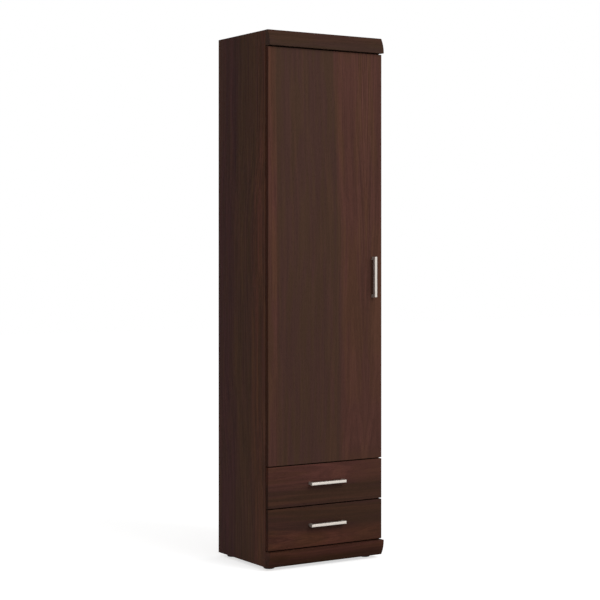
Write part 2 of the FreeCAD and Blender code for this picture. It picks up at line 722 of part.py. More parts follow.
def door():
    blank = eased_board("door_blank", ("door_left", "fronts_face", "door_bottom"),
                        ("front_width", "front_board", "door_top - door_bottom"), "-Y")
    makers = {"hinge_cups": hinge_cup, "hinge_arms": hinge_arm, "hinge_plates": hinge_plate}
    for label, maker in makers.items():
        node(label, group(label + "_set", [maker(level) for level in HINGE_LEVELS]))
    handle_x = "door_left + front_width - door_handle_inset"
    bar_handle("door_handle", "door_panel", (handle_x, "door_middle - door_handle_drop"), upright=True)
    bumpers = [
        rod("bumper", "+Y", ("door_left + front_width - bumper_inset", "fronts_rear", level),
            "bumper_radius", "bumper_height")
        for level in ("door_bottom + bumper_level_inset", "door_top - bumper_level_inset")
    ]
    node("door_bumpers", group("bumper_pair", bumpers))
    node("door_panel", blank)


# Drawers on roller runners

SIDES = {"left": ("-", "+X", "-X"), "right": ("", "-X", "+X")}


def mirrored_box(name, side, near, y, z, size):
    """Box on one side of the cabinet, given by the distance of its inner face from the middle."""
    sign = SIDES[side][0]
    x = f"-({near}) - ({size[0]})" if sign else near
    return box(name, (x, y, z), size)


def drawer_box(name, front_bottom):
    """Sides, back and bottom of one drawer; the bottom lies in grooves of the sides and front."""
    low = f"{front_bottom} + drawer_lift"
    groove_low = f"{low} + drawer_bottom_rise"
    groove_height = "drawer_bottom_board + 2 * fit_gap"
    front = f"{name}_drawer_front"
    screws = f"{name}_drawer_screws"
    blank = eased_board(front + "_blank", ("door_left", "fronts_face", front_bottom),
                        ("front_width", "front_board", "drawer_front_height"), "-Y")
    carve(front, ("-drawer_inner_width / 2 - drawer_groove", "fronts_rear - drawer_groove", groove_low),
          ("drawer_inner_width + 2 * drawer_groove", "drawer_groove + cut_overrun", groove_height))
    for side, (sign, inward, outward) in SIDES.items():
        label = f"{name}_drawer_{side}_side"
        inner = "drawer_half_width - drawer_side_board"
        board = mirrored_box(label + "_blank", side, inner, "fronts_rear", low,
                             ("drawer_side_board", "drawer_side_length", "drawer_side_height"))
        groove_size = ("drawer_groove + cut_overrun", "drawer_side_length + 2 * cut_overrun", groove_height)
        groove = mirrored_box(label + "_groove", side, f"{inner} - cut_overrun",
                              "fronts_rear - cut_overrun", groove_low, groove_size)
        drillings.setdefault(label, []).append(groove)
        middle = f"{sign}(drawer_half_width - drawer_side_board / 2)"
        for z in (f"{groove_low} + drawer_bottom_board + drawer_dowel_margin",
                  f"{low} + drawer_side_height - drawer_dowel_inset"):
            dowel(f"{name}_drawer_dowels", "+Y", (middle, "fronts_rear", z), "drawer_dowel_radius",
                  "drawer_dowel_length", "drawer_dowel_depth", front, label)
            back_joint = (f"{sign}({inner})", "drawer_rear - drawer_side_board / 2", z)
            dowel(f"{name}_drawer_dowels", inward, back_joint, "drawer_dowel_radius", "drawer_dowel_length",
                  "drawer_dowel_depth", label, f"{name}_drawer_back")
        drawer_rail(name, side, low, screws)
        node(label, board)
    back_low = f"{groove_low} + fit_gap + drawer_bottom_board"
    back = box(f"{name}_drawer_back_blank",
               ("-drawer_inner_width / 2", "drawer_rear - drawer_side_board", back_low),
               ("drawer_inner_width", "drawer_side_board", f"{low} + drawer_side_height - ({back_low})"))
    node(f"{name}_drawer_back", back)
    bottom_low = ("-drawer_inner_width / 2 - bottom_tongue", "fronts_rear - bottom_tongue",
                  f"{groove_low} + fit_gap")
    bottom_size = ("drawer_inner_width + 2 * bottom_tongue", "drawer_side_length + bottom_tongue",
                   "drawer_bottom_board")
    node(f"{name}_drawer_bottom", box(f"{name}_drawer_bottom_board", bottom_low, bottom_size))
    bar_handle(f"{name}_drawer_handle", front,
               ("0", f"{front_bottom} + drawer_front_height / 2 + drawer_handle_rise"), upright=False)
    node(front, blank)


def drawer_rail(name, side, low, screws):
    """Bent rail on a drawer side: a lip under the board, a web, and a flange that runs on a roller."""
    sign, inward, outward = SIDES[side]
    span = "drawer_side_length"
    web = mirrored_box("rail_web", side, "drawer_half_width", "fronts_rear", f"{low} - runner_steel",
                       ("runner_steel", span, "drawer_rail_height + runner_steel"))
    lip = mirrored_box("rail_lip", side, "drawer_half_width - drawer_side_board", "fronts_rear",
                       f"{low} - runner_steel", ("drawer_side_board", span, "runner_steel"))
    flange_low = f"{low} + drawer_rail_height - runner_steel"
    flange = mirrored_box("rail_flange", side, "drawer_half_width", "fronts_rear", flange_low,
                          ("drawer_rail_flange", span, "runner_steel"))
    web_face = f"{sign}(drawer_half_width + runner_steel)"
    axle_start = (web_face, "rear_axle_y", f"{low} + rear_axle_rise")
    axle = rod("rail_axle", outward, axle_start, "axle_radius", "axle_length")
    holes = []
    for y in ("fronts_rear + runner_screw_inset", "drawer_rear - runner_screw_inset"):
        seat = (web_face, y, f"{low} + rear_axle_rise")
        headed_pin(screws, inward, seat, "wood_screw_radius", "drawer_side_board - cut_overrun",
                   "wood_screw_head_radius", "wood_screw_head_height")
        drill(f"{name}_drawer_{side}_side", inward, shifted(seat, inward, "runner_steel"),
              "wood_screw_radius", "drawer_side_board - runner_steel")
        holes.append(rod("rail_screw_hole", inward, shifted(seat, outward, "cut_overrun"),
                         "wood_screw_radius + fit_gap", "runner_steel + 2 * cut_overrun"))
    rail = fuse("rail_whole", [web, lip, flange, axle])
    node(f"{name}_drawer_{side}_runner", cut("drawer_rail", rail, holes))


def cabinet_rail(name, side, low):
    """Channel on a side panel, with a stub axle at its front for the roller under the drawer's flange."""
    sign, inward, outward = SIDES[side]
    channel_low = f"{low} + channel_rise"
    web = mirrored_box("channel_web", side, "inner_right - runner_steel", "runner_front", channel_low,
                       ("runner_steel", "runner_length", "channel_height"))
    floor = mirrored_box("channel_floor", side, "inner_right - channel_reach", "runner_front", channel_low,
                         ("channel_reach", "runner_length", "runner_steel"))
    lid_start = "front_axle_y + roller_radius + axle_radius"
    lid = mirrored_box("channel_lid", side, "inner_right - channel_reach", lid_start,
                       f"{channel_low} + channel_height - runner_steel",
                       ("channel_reach", f"runner_front + runner_length - ({lid_start})", "runner_steel"))
    web_face = f"{sign}(inner_right - runner_steel)"
    axle = rod("channel_axle", inward, (web_face, "front_axle_y", f"{low} + front_axle_rise"),
               "axle_radius", "axle_length")
    holes = []
    for y in ("runner_front + runner_screw_inset", "runner_front + runner_length - runner_screw_inset"):
        seat = (web_face, y, f"{low} + rear_axle_rise")
        wood_screw("wood_screws", outward, seat, "runner_steel", f"{side}_side_panel")
        holes.append(rod("channel_screw_hole", outward, shifted(seat, inward, "cut_overrun"),
                         "wood_screw_radius + fit_gap", "runner_steel + 2 * cut_overrun"))
    rail = fuse("channel_whole", [web, floor, lid, axle])
    node(f"{name}_{side}_cabinet_runner", cut("cabinet_rail", rail, holes))


def rollers(label, y, z, face, outward_first):
    """A pair of rollers on the left and right stub axles, which turn on one line."""
    pair = []
    for side, (sign, inward, outward) in SIDES.items():
        along = outward if outward_first else inward
        start = shifted((f"{sign}({face})", y, z), along, "roller_side_gap")
        tyre = rod("roller_tyre", along, start, "roller_radius", "roller_width")
        bore = rod("roller_bore", along, shifted(start, OPPOSITE[along], "cut_overrun"),
                   "axle_radius + axle_running_gap", "roller_width + 2 * cut_overrun")
        pair.append(cut("roller", tyre, [bore]))
    node(label, group(label + "_pair", pair))


def drawers():
    for name in ("upper", "lower"):
        front_bottom = f"{name}_front_bottom"
        low = f"{front_bottom} + drawer_lift"
        drawer_box(name, front_bottom)
        for side in SIDES:
            cabinet_rail(name, side, low)
        rollers(f"{name}_front_rollers", "front_axle_y", f"{low} + front_axle_rise",
                "inner_right - runner_steel", outward_first=False)
        rollers(f"{name}_rear_rollers", "rear_axle_y", f"{low} + rear_axle_rise",
                "drawer_half_width + runner_steel", outward_first=True)


# Assembly: every piece notes its holes first, then the boards are cut and handed over

boards = side_panels()
boards.append(shelf("top_panel", "top_level", "0"))
boards.append(shelf("hat_shelf", "hat_shelf_level", "hat_shelf_setback"))
boards.append(shelf("divider_panel", "divider_level", "0"))
boards.append(shelf("bottom_panel", "bottom_level", "0"))
boards.extend(back_panels())
boards.append(moulding("cornice", "cabinet_height - trim_height", turned=False))
boards.append(moulding("plinth", "plinth_top", turned=True))
trim_dowels("cornice", "cabinet_height - trim_height")
trim_dowels("plinth", "foot_height")
boards.append(rear_plinth_rail())
corner_blocks_and_feet()
clothes_rail()
door()
drawers()
for board_label, board_blank in boards:
    node(board_label, board_blank)
for fastener_label, fastener_pieces in fasteners.items():
    node(fastener_label, group(fastener_label + "_set", fastener_pieces))

document.recompute()
for piece in document.Objects:
    if "Invalid" in piece.State or "Error" in piece.State:
        raise RuntimeError(f"{piece.Label} failed: {piece.State}")
for piece in nodes:
    if piece.Shape.isNull() or not piece.Shape.isValid():
        raise RuntimeError(f"{piece.Label} has no sound shape")

os.makedirs("parts", exist_ok=True)
for piece in nodes:
    piece.Shape.exportStep(f"parts/{piece.Label}.step")
print(len(nodes), "nodes written")
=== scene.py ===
import json
import math

import bmesh
import bpy
from mathutils import Matrix, Vector


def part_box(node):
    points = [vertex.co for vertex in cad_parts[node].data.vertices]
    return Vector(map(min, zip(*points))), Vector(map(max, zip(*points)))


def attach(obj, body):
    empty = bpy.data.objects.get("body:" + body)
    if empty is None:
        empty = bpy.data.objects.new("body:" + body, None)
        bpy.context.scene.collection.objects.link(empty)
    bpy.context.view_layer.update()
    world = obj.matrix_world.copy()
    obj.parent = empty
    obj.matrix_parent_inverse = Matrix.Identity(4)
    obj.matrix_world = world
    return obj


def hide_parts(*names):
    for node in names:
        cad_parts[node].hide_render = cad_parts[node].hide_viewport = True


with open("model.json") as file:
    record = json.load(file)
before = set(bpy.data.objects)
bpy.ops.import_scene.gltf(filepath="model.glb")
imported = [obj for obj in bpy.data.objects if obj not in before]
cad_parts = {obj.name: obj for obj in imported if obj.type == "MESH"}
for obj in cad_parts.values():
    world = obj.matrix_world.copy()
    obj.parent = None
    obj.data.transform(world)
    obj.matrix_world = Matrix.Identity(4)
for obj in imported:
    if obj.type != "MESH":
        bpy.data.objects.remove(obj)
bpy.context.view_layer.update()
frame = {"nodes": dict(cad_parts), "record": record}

nodes = frame["nodes"]
BODY_OF = {node: body for body, members in frame["record"]["behaviour"]["bodies"].items()
           for node in members}

# Pieces that are treated alike
DRAWERS = ("upper", "lower")
SIDES = ("left", "right")
ROLLERS = [f"{drawer}_{end}_rollers" for drawer in DRAWERS for end in ("front", "rear")]
RUNNERS = [runner for drawer in DRAWERS for side in SIDES
           for runner in (f"{drawer}_{side}_cabinet_runner", f"{drawer}_drawer_{side}_runner")]
SCREWS = ["hinge_cup_screws", "hinge_arm_screws", "door_handle_screws", "wood_screws",
          "upper_drawer_screws", "lower_drawer_screws"]

# Shader building

# Spans of values: all of a mask, most of a noise, and the busiest part of a noise
WHOLE = (0.0, 1.0)
WIDE = (0.3, 0.7)
NARROW = (0.35, 0.65)
NOISE_MIDDLE = 0.5


def put(tree, kind, inputs=None, **settings):
    """Add a shader node, set its options, then link or set its inputs."""
    node = tree.nodes.new(kind)
    for name, value in settings.items():
        setattr(node, name, value)
    for name, value in (inputs or {}).items():
        if isinstance(value, bpy.types.NodeSocket):
            tree.links.new(value, node.inputs[name])
        else:
            node.inputs[name].default_value = value
    return node


def maths(tree, operation, *values):
    return put(tree, "ShaderNodeMath", dict(enumerate(values)), operation=operation).outputs[0]


def plus(tree, first, second):
    return maths(tree, "ADD", first, second)


def minus(tree, first, second):
    return maths(tree, "SUBTRACT", first, second)


def times(tree, first, second):
    return maths(tree, "MULTIPLY", first, second)


def vectors(tree, operation, *values):
    inputs = dict(enumerate(values))
    return put(tree, "ShaderNodeVectorMath", inputs, operation=operation).outputs[0]


def ramp(tree, value, span, low=0.0, high=1.0):
    """Eased from low to high as a value goes from one end of a span to the other."""
    start, end = span
    inputs = {"Value": value, "From Min": start, "From Max": end, "To Min": low, "To Max": high}
    node = put(tree, "ShaderNodeMapRange", inputs, interpolation_type="SMOOTHSTEP")
    return node.outputs["Result"]


def even(scale):
    """One scale for all three axes."""
    return (scale, scale, scale)


def stretched(tree, place, scale):
    return put(tree, "ShaderNodeMapping", {"Vector": place, "Scale": scale}).outputs["Vector"]


def noise(tree, place, scale, detail=2.0, coarse=0.5):
    """Noise of one scale per axis, in patterns per metre."""
    inputs = {"Vector": stretched(tree, place, scale), "Scale": 1.0, "Detail": detail,
              "Roughness": coarse}
    return put(tree, "ShaderNodeTexNoise", inputs).outputs["Fac"]


def colour(red, green, blue):
    return (red, green, blue, 1.0)


def mixed(tree, share, first, second, kind="MIX"):
    inputs = {0: share, 6: first, 7: second}
    return put(tree, "ShaderNodeMix", inputs, data_type="RGBA", blend_type=kind).outputs[2]


def filtered(tree, tint, cast):
    """Colour multiplied by another."""
    return mixed(tree, 1.0, tint, cast, "MULTIPLY")


def shaded(tree, tint, shade):
    """Colour made lighter or darker by a value about one."""
    grey = put(tree, "ShaderNodeCombineColor", {0: shade, 1: shade, 2: shade}).outputs[0]
    return filtered(tree, tint, grey)


def new_group(name, inputs, outputs):
    """Shader node group with named sockets; gives its tree, its inputs and its outputs."""
    tree = bpy.data.node_groups.new(name, "ShaderNodeTree")
    for label, kind in inputs.items():
        tree.interface.new_socket(label, in_out="INPUT", socket_type="NodeSocket" + kind)
    for label, kind in outputs.items():
        tree.interface.new_socket(label, in_out="OUTPUT", socket_type="NodeSocket" + kind)
    given = tree.nodes.new("NodeGroupInput").outputs
    return tree, given, tree.nodes.new("NodeGroupOutput").inputs


def use_group(tree, group, inputs):
    return put(tree, "ShaderNodeGroup", inputs, node_tree=group).outputs


def new_material(name, **plain):
    """Material with one Principled shader; plain gives the sockets that are the same all over."""
    material = bpy.data.materials.new(name)
    material.use_nodes = True
    tree = material.node_tree
    shader = tree.nodes["Principled BSDF"]
    for label, value in plain.items():
        shader.inputs[label.replace("_", " ")].default_value = value
    return material, tree, shader


def surface(tree, shader, tint, rough, height, strength, depth):
    """Link a finish's colour, roughness and relief to its shader; depth is in metres."""
    tree.links.new(tint, shader.inputs["Base Color"])
    tree.links.new(rough, shader.inputs["Roughness"])
    bump = put(tree, "ShaderNodeBump", {"Strength": strength, "Distance": depth, "Height": height})
    tree.links.new(bump.outputs[0], shader.inputs["Normal"])


def object_place(tree):
    return put(tree, "ShaderNodeTexCoord").outputs["Object"]


def parts_of(tree, place):
    return put(tree, "ShaderNodeSeparateXYZ", {0: place}).outputs


def joined(tree, **parts):
    return put(tree, "ShaderNodeCombineXYZ", parts).outputs[0]


def turned_place(tree, axes):
    """Object coordinates in another order of axes, such as "ZYX"."""
    parts = parts_of(tree, object_place(tree))
    return joined(tree, X=parts[axes[0]], Y=parts[axes[1]], Z=parts[axes[2]])


def swayed(tree, place, sway):
    """A place shifted across its Z axis by a value."""
    return vectors(tree, "ADD", place, joined(tree, X=sway, Y=sway))


# Effects that several finishes share

# Patterns of the print, per metre across the face, through the board and along the grain
SWAY = (2.2, 2.2, 1.1)
RIPPLE = (9.0, 9.0, 7.0)
BANDS = (14.0, 14.0, 0.5)
WARMTH = (38.0, 38.0, 3.5)
STREAKS = (95.0, 95.0, 0.9)
FIBRES = (760.0, 760.0, 7.0)
PORES = (2300.0, 2300.0, 55.0)

RIPPLE_REACH = 0.006
FLAME_CLIMB = 0.10
FLAME_CONTRAST = 0.9
RED_SHARE = 0.8
RED_CONTRAST = 0.6
FADED_RED = 0.65
PORE_DARKNESS = 0.22
COOL_CAST = colour(0.99, 0.96, 1.03)
WARM_CAST = colour(1.0, 1.04, 0.93)

# How deep under a board's face its edge band starts, in metres
BAND_START = (0.0007, 0.0013)


def make_mahogany_print():
    """Printed mahogany: the place's X runs across the face, Y through the board, Z along the grain.

    Start and Width place the tones across the board, and Lean and Wander tilt and bend them.
    Red and flame figure weaken along the grain from Fade From to Fade To.
    """
    numbers = ("Start", "Width", "Lean", "Wander", "Contrast", "Flame At", "Flame Reach",
               "Fade From", "Fade To", "Red From", "Red To", "Rim From", "Rim To",
               "Deep From", "Deep To", "Pale From", "Pale To")
    inputs = {"Place": "Vector", **dict.fromkeys(numbers, "Float"),
              **dict.fromkeys(("Brown", "Red", "Deep"), "Color")}
    tree, given, out = new_group(
        "mahogany_print", inputs, {"Color": "Color", "Streaks": "Float", "Height": "Float"})

    def span(tone):
        return given[tone + " From"], given[tone + " To"]

    sway = minus(tree, noise(tree, given["Place"], SWAY, detail=1.0), NOISE_MIDDLE)
    ripple = minus(tree, noise(tree, given["Place"], RIPPLE, detail=1.0), NOISE_MIDDLE)
    sway = plus(tree, times(tree, sway, given["Wander"]), times(tree, ripple, RIPPLE_REACH))
    straight = swayed(tree, given["Place"], sway)
    spot = parts_of(tree, straight)
    inward = minus(tree, spot["X"], given["Start"])
    level = maths(tree, "DIVIDE", inward, given["Width"])
    across = plus(tree, level, times(tree, spot["Z"], given["Lean"]))

    # Arches of flame: near their middle the streaks close over it, further out they run straight.
    middle = times(tree, given["Flame At"], given["Width"])
    away = maths(tree, "ABSOLUTE", minus(tree, inward, middle))
    share = maths(tree, "MINIMUM", maths(tree, "DIVIDE", away, given["Flame Reach"]), 1.0)
    flame = maths(tree, "POWER", minus(tree, 1.0, share), 2.0)
    arch = maths(tree, "MULTIPLY_ADD", times(tree, share, share), 0.5, 0.5)
    arch = maths(tree, "MAXIMUM", times(tree, arch, given["Flame Reach"]), away)
    climb = times(tree, times(tree, flame, spot["Z"]), FLAME_CLIMB)
    arched = joined(tree, X=plus(tree, arch, climb), Y=spot["Y"], Z=spot["Z"])

    bands = noise(tree, arched, BANDS)
    streaks = noise(tree, arched, STREAKS, detail=3.0, coarse=0.6)
    fibres = noise(tree, straight, FIBRES, coarse=0.6)
    pores = ramp(tree, noise(tree, straight, PORES, detail=0.0), (0.60, 0.68))

    # Tones across the board
    red = maths(tree, "MAXIMUM", ramp(tree, across, span("Red")), ramp(tree, level, span("Rim")))
    red = plus(tree, times(tree, red, RED_SHARE), ramp(tree, bands, (0.45, 0.75), -0.1, 0.3))
    red = plus(tree, red, ramp(tree, streaks, NARROW, -0.15, 0.15))
    red = times(tree, red, ramp(tree, spot["Z"], span("Fade"), 1.0, FADED_RED))
    red = maths(tree, "MAXIMUM", maths(tree, "MINIMUM", red, 1.0), 0.0)
    deep = times(tree, ramp(tree, across, span("Deep")), ramp(tree, across, span("Pale")))
    warmth = ramp(tree, noise(tree, arched, WARMTH), (0.38, 0.62))
    tint = mixed(tree, red, given["Brown"], given["Red"])
    tint = mixed(tree, deep, tint, given["Deep"])
    tint = filtered(tree, tint, mixed(tree, warmth, COOL_CAST, WARM_CAST))

    # Lighter and darker grain, strongest in the red and the flame, and dark pores
    change = plus(tree, ramp(tree, streaks, WIDE, -0.12, 0.14),
                  ramp(tree, fibres, WIDE, -0.11, 0.11))
    strength = maths(tree, "MULTIPLY_ADD", red, RED_CONTRAST, given["Contrast"])
    figure = times(tree, flame, ramp(tree, spot["Z"], span("Fade"), FLAME_CONTRAST, 0.0))
    change = times(tree, change, plus(tree, strength, figure))
    change = minus(tree, change, times(tree, pores, PORE_DARKNESS))
    tree.links.new(shaded(tree, tint, plus(tree, change, 1.0)), out["Color"])
    tree.links.new(streaks, out["Streaks"])
    tree.links.new(minus(tree, times(tree, fibres, 0.5), pores), out["Height"])
    return tree


def make_board_rim():
    """A board's edges: how far away the nearest one is, and the band along its narrow sides."""
    tree, given, out = new_group(
        "board_rim", {"Place": "Vector", "Centre": "Vector", "Half": "Vector"},
        {"Distance": "Float", "Band": "Float"})
    reach = vectors(tree, "ABSOLUTE", vectors(tree, "SUBTRACT", given["Place"], given["Centre"]))
    inside = parts_of(tree, vectors(tree, "SUBTRACT", given["Half"], reach))
    x, y, z = inside["X"], inside["Y"], inside["Z"]
    # On the board's skin one of the three is zero, so the middle one in size leads to an edge.
    smaller, larger = maths(tree, "MINIMUM", x, y), maths(tree, "MAXIMUM", x, y)
    nearest = maths(tree, "MAXIMUM", smaller, maths(tree, "MINIMUM", larger, z))
    tree.links.new(nearest, out["Distance"])
    tree.links.new(ramp(tree, y, BAND_START), out["Band"])
    return tree


def make_chipboard():
    """Cut edge of a board: pressed chips of pale and dark wood."""
    tree, given, out = new_group(
        "chipboard", {"Place": "Vector"}, {"Color": "Color", "Height": "Float"})
    chips = put(tree, "ShaderNodeTexVoronoi", {
        "Vector": stretched(tree, given["Place"], (520.0, 520.0, 260.0)), "Scale": 1.0,
        "Randomness": 1.0}).outputs
    tone = put(tree, "ShaderNodeSeparateColor", {0: chips["Color"]}).outputs[0]
    dust = noise(tree, given["Place"], even(1500.0))
    dark, pale = colour(0.30, 0.19, 0.10), colour(0.60, 0.44, 0.27)
    tint = mixed(tree, tone, dark, pale)
    tint = shaded(tree, tint, ramp(tree, chips["Distance"], (0.2, 0.8), 1.0, 0.72))
    tree.links.new(shaded(tree, tint, ramp(tree, dust, WIDE, 0.85, 1.1)), out["Color"])
    tree.links.new(minus(tree, dust, chips["Distance"]), out["Height"])
    return tree


def make_drawn_lines():
    """Fine lines left by drawing, brushing or rolling along the place's Z, and softer clouds."""
    tree, given, out = new_group(
        "drawn_lines", {"Place": "Vector"}, {"Lines": "Float", "Clouds": "Float"})
    fine = noise(tree, given["Place"], (4200.0, 4200.0, 30.0), coarse=0.6)
    broad = noise(tree, given["Place"], (900.0, 900.0, 8.0), detail=1.0)
    clouds = noise(tree, given["Place"], (38.0, 38.0, 14.0), detail=3.0)
    lines = plus(tree, times(tree, fine, 0.65), times(tree, broad, 0.35))
    tree.links.new(lines, out["Lines"])
    tree.links.new(clouds, out["Clouds"])
    return tree


def make_moulded_skin():
    """Skin of moulded or sprayed pieces: a fine dimpled texture and faint flow marks."""
    tree, given, out = new_group(
        "moulded_skin", {"Place": "Vector", "Fineness": "Float"},
        {"Dimples": "Float", "Flow": "Float"})
    scaling = {0: given["Place"], "Scale": given["Fineness"]}
    finer = put(tree, "ShaderNodeVectorMath", scaling, operation="SCALE").outputs[0]
    tree.links.new(noise(tree, finer, even(1.0), coarse=0.6), out["Dimples"])
    tree.links.new(noise(tree, given["Place"], even(55.0), detail=3.0), out["Flow"])
    return tree


MAHOGANY_PRINT = make_mahogany_print()
BOARD_RIM = make_board_rim()
CHIPBOARD = make_chipboard()
DRAWN_LINES = make_drawn_lines()
MOULDED_SKIN = make_moulded_skin()

# Mahogany boards. Axes are named in the order across the face, through the board, along the grain.

UPRIGHT_FRONT = "XYZ"
UPRIGHT_SIDE = "YXZ"
LEVEL_FRONT = "ZYX"
LEVEL_SHELF = "YZX"
DRAWER_SIDE = "ZXY"

BROWN = colour(0.063, 0.032, 0.0235)
RED = colour(0.0895, 0.0372, 0.0266)
DEEP = colour(0.056, 0.0225, 0.0195)
WORN_PRINT = colour(0.13, 0.075, 0.052)
SEAM_DIRT = colour(0.016, 0.008, 0.006)
INNER_BAND = colour(0.8, 0.8, 0.8)
FRONT_BAND = colour(0.50, 0.33, 0.22)
PLAIN_BAND = colour(1.0, 1.0, 1.0)

# Spans with which a tone is nowhere on a board, or everywhere
NOWHERE = (9.0, 10.0)
EVERYWHERE = (10.0, 9.0)
NO_FLAME = (-9.0, 0.1)

# Distances from a board's edges, in metres
WORN_EDGE = (0.0011, 0.0002)
SEAM_AT = 0.0014
SEAM_HALF = 0.0003
CUT_FROM = 0.0003
CUT_TO = 0.0001

# Half the depth over which a fibre sheet's printed side gives way to its bare one, in metres
SIDE_CHANGE = 0.0002


def dress(material, *names):
    """Give CAD nodes a material."""
    for name in names:
        slots = nodes[name].data.materials
        slots.clear()
        slots.append(material)


def board_span(node, axes):
    """A board's lowest and highest corners, in the order of its axes."""
    return [Vector([corner["XYZ".index(axis)] for axis in axes]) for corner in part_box(node)]


def printed(tree, place, node, axes, brown=BROWN, red=RED, red_at=NOWHERE, rim_at=NOWHERE,
            deep_at=NOWHERE, pale_at=EVERYWHERE, lean=0.0, wander=0.06, contrast=0.45,
            flame=NO_FLAME, fade_at=NOWHERE):
    """The mahogany print on one board.

    Red, rim, deep and pale change between two shares of its width. The flame has its middle at a
    share of the width and a reach in metres, and fade_at runs along the grain in metres.
    """
    low, high = board_span(node, axes)
    inputs = {"Place": place, "Start": low.x, "Width": high.x - low.x, "Lean": lean,
              "Wander": wander, "Contrast": contrast, "Flame At": flame[0],
              "Flame Reach": flame[1], "Brown": brown, "Red": red, "Deep": DEEP}
    spans = {"Fade": fade_at, "Red": red_at, "Rim": rim_at, "Deep": deep_at, "Pale": pale_at}
    for tone, (start, end) in spans.items():
        inputs[tone + " From"] = start
        inputs[tone + " To"] = end
    return use_group(tree, MAHOGANY_PRINT, inputs)


def laminate(node, axes, band=INNER_BAND, raw=False, **tones):
    """Dress a board in satin mahogany melamine; band tints its edge bands, raw bares cut edges."""
    low, high = board_span(node, axes)
    material, tree, shader = new_material(node + "_laminate", Specular_IOR_Level=0.012)
    place = turned_place(tree, axes)
    grain = printed(tree, place, node, axes, **tones)
    edges = use_group(tree, BOARD_RIM, {
        "Place": place, "Centre": (low + high) / 2, "Half": (high - low) / 2})
    rubbed = ramp(tree, noise(tree, place, even(45.0), detail=3.0), (0.42, 0.68), 0.0, 0.5)
    worn = times(tree, ramp(tree, edges["Distance"], WORN_EDGE), rubbed)
    off_seam = maths(tree, "ABSOLUTE", minus(tree, edges["Distance"], SEAM_AT))
    seam = ramp(tree, off_seam, (SEAM_HALF, 0.0), 0.0, 0.3)
    tint = mixed(tree, edges["Band"], grain["Color"], filtered(tree, grain["Color"], band))
    tint = mixed(tree, worn, tint, WORN_PRINT)
    tint = mixed(tree, seam, tint, SEAM_DIRT)
    rough = plus(tree, ramp(tree, grain["Streaks"], WIDE, 0.38, 0.48), times(tree, worn, 0.2))
    height = grain["Height"]
    if raw:
        chips = use_group(tree, CHIPBOARD, {"Place": place})
        spot = parts_of(tree, place)
        rear = ramp(tree, spot["X"], (high.x - CUT_FROM, high.x - CUT_TO))
        underside = ramp(tree, spot["Z"], (low.z + CUT_FROM, low.z + CUT_TO))
        cut = maths(tree, "MAXIMUM", rear, underside)
        tint = mixed(tree, cut, tint, chips["Color"])
        rough = plus(tree, rough, times(tree, cut, 0.4))
        height = plus(tree, height, times(tree, cut, chips["Height"]))
    surface(tree, shader, tint, rough, height, strength=0.3, depth=0.0002)
    dress(material, node)


def hardboard(node, axes, outward):
    """Dress a thin fibre sheet: printed inside, bare on the side whose sign outward gives."""
    low, high = board_span(node, axes)
    middle, change = (low.y + high.y) / 2, outward * SIDE_CHANGE
    material, tree, shader = new_material(node + "_hardboard", Specular_IOR_Level=0.05)
    place = turned_place(tree, axes)
    grain = printed(tree, place, node, axes, wander=0.08)
    fibre = noise(tree, place, even(900.0), detail=3.0, coarse=0.7)
    cloud = noise(tree, place, even(16.0), detail=4.0, coarse=0.6)
    pale, dark = colour(0.21, 0.115, 0.058), colour(0.16, 0.086, 0.043)
    bare = mixed(tree, ramp(tree, cloud, WIDE), pale, dark)
    bare = shaded(tree, bare, ramp(tree, fibre, WIDE, 0.8, 1.2))
    outside = ramp(tree, parts_of(tree, place)["Y"], (middle - change, middle + change))
    tint = mixed(tree, outside, grain["Color"], bare)
    rough = plus(tree, ramp(tree, outside, WHOLE, 0.45, 0.68), ramp(tree, fibre, WIDE, -0.06, 0.06))
    surface(tree, shader, tint, rough, fibre, strength=0.2, depth=0.0002)
    dress(material, node)


laminate("door_panel", UPRIGHT_FRONT, FRONT_BAND, red_at=(0.615, 0.695), rim_at=(0.105, 0.05),
         lean=0.045, flame=(0.85, 0.10), fade_at=(1.9, 0.4))
for side in SIDES:
    laminate(f"{side}_side_panel", UPRIGHT_SIDE, raw=True, brown=colour(0.063, 0.0285, 0.0182),
             red=colour(0.090, 0.0331, 0.0207), red_at=(0.37, 0.19), deep_at=(0.62, 0.74),
             pale_at=(1.12, 0.98), lean=0.07, wander=0.12, contrast=1.6, fade_at=(1.9, 0.4))
laminate("upper_drawer_front", LEVEL_FRONT, FRONT_BAND, brown=colour(0.049, 0.0236, 0.0170),
         red=colour(0.1106, 0.0420, 0.0311), red_at=(0.40, 0.74), wander=0.09, contrast=0.3,
         flame=(0.80, 0.04), fade_at=(-0.2, 0.25))
laminate("lower_drawer_front", LEVEL_FRONT, FRONT_BAND, brown=colour(0.048, 0.0232, 0.0165),
         red=colour(0.0880, 0.0326, 0.0209), red_at=(0.60, 0.34), wander=0.09, contrast=0.3,
         flame=(0.30, 0.05), fade_at=(-0.25, 0.6))
laminate("cornice", LEVEL_FRONT, PLAIN_BAND, brown=colour(0.0485, 0.0266, 0.0181),
         red=colour(0.0545, 0.0254, 0.0182), red_at=(0.14, 0.83))
# The plinth's tones carry painted light: the dark brown lower half is painted shade where the bow
# faces down, and the lighter red top is a painted highlight along the bow's upper edge.
laminate("plinth", LEVEL_FRONT, PLAIN_BAND, brown=colour(0.0370, 0.0158, 0.0092),
         red=colour(0.0800, 0.0290, 0.0205), red_at=(0.34, 1.05), fade_at=(-0.3, 0.2))
for name in ("top_panel", "hat_shelf", "divider_panel", "bottom_panel", "rear_plinth_rail"):
    laminate(name, LEVEL_SHELF)
for drawer in DRAWERS:
    for side in SIDES:
        laminate(f"{drawer}_drawer_{side}_side", DRAWER_SIDE)
    laminate(f"{drawer}_drawer_back", LEVEL_FRONT)
    hardboard(f"{drawer}_drawer_bottom", LEVEL_SHELF, outward=-1)
for name in ("upper_back_panel", "lower_back_panel"):
    hardboard(name, UPRIGHT_FRONT, outward=1)

# Other finishes


